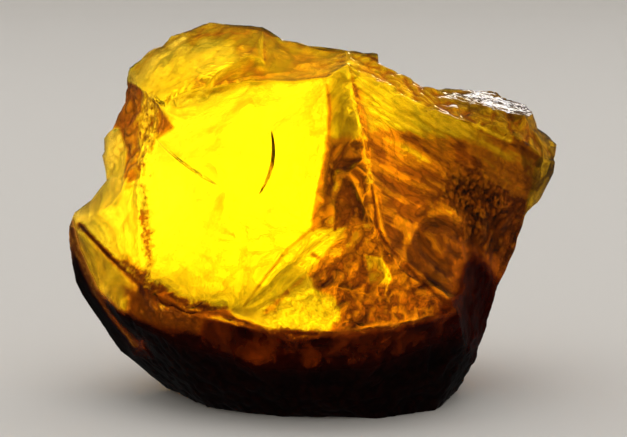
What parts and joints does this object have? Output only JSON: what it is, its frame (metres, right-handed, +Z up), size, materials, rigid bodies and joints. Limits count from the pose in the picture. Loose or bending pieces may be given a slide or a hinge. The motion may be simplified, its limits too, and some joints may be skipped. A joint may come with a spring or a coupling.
{
  "type": "raw amber piece",
  "caption": "Rough lump of clear amber with broad shell-like fractures, chipped ridges, a crusted back and a flat resting face.",
  "frame": {"origin": "centre of the bounding box in plan, on the resting face", "axes": "+Z up, +X along the stone's longest side to the viewer's right, -Y out of the clear front faces"},
  "size_m": [0.066, 0.0446, 0.0495],
  "materials": {
    "amber": "clear yellow to deep orange fossil resin, glossy on fresh fractures, dull brown crust on the back and underside"
  },
  "bodies": {
    "root": {"amber": "amber"}
  },
  "joints": []
}
